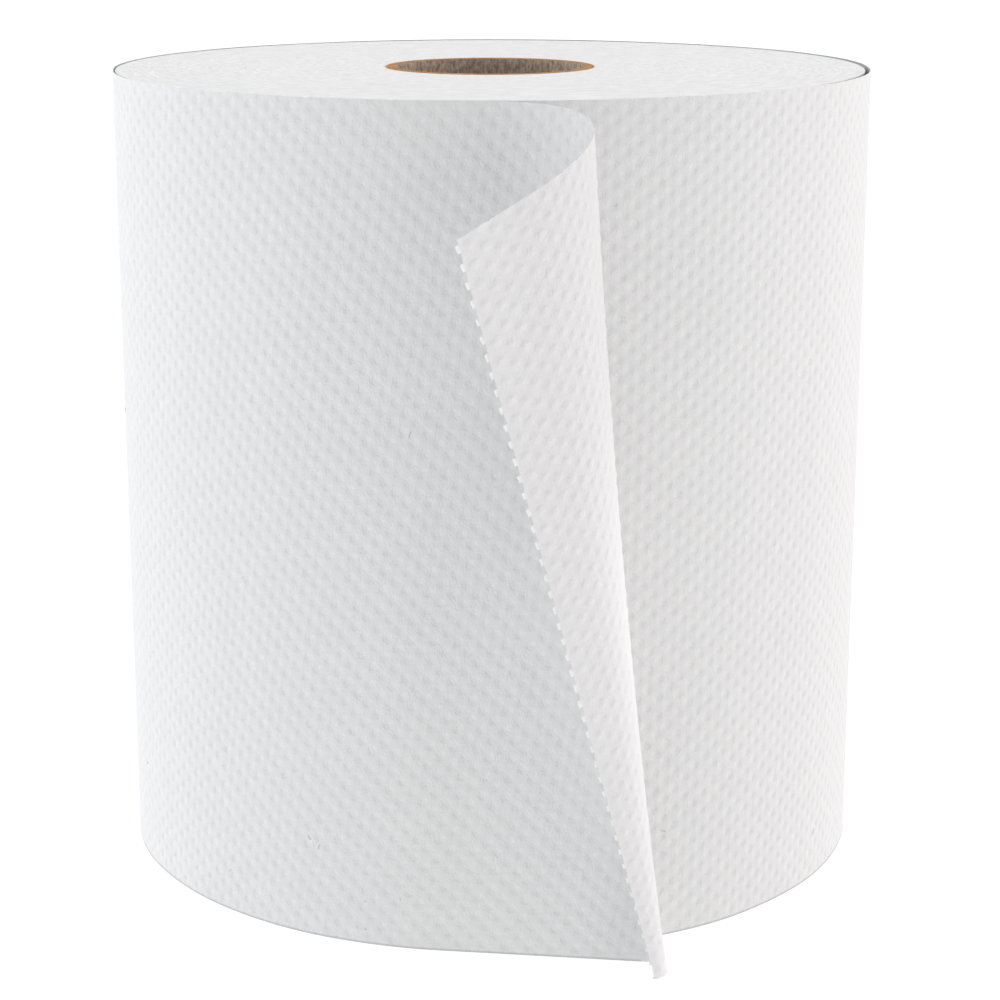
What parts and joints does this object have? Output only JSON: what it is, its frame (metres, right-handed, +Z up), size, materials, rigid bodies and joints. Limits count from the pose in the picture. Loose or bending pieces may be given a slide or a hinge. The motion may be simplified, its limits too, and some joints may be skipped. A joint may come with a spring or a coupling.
{
  "type": "paper towel roll",
  "caption": "Hard-wound roll of embossed paper towel on an open cardboard core, standing on its end, with its torn free end curled away and folded back.",
  "frame": {"origin": "on the core's axis, in the plane of the roll's lower end face", "axes": "+Z up along the core's axis; the free end points to -Y; +X to the right as seen from there"},
  "size_m": [0.2, 0.259, 0.2095],
  "materials": {
    "towel_paper": "matt white embossed tissue",
    "core_cardboard": "matt brown recycled board"
  },
  "bodies": {
    "root": {"towel_roll": "towel_paper", "core_tube": "core_cardboard"}
  },
  "joints": []
}
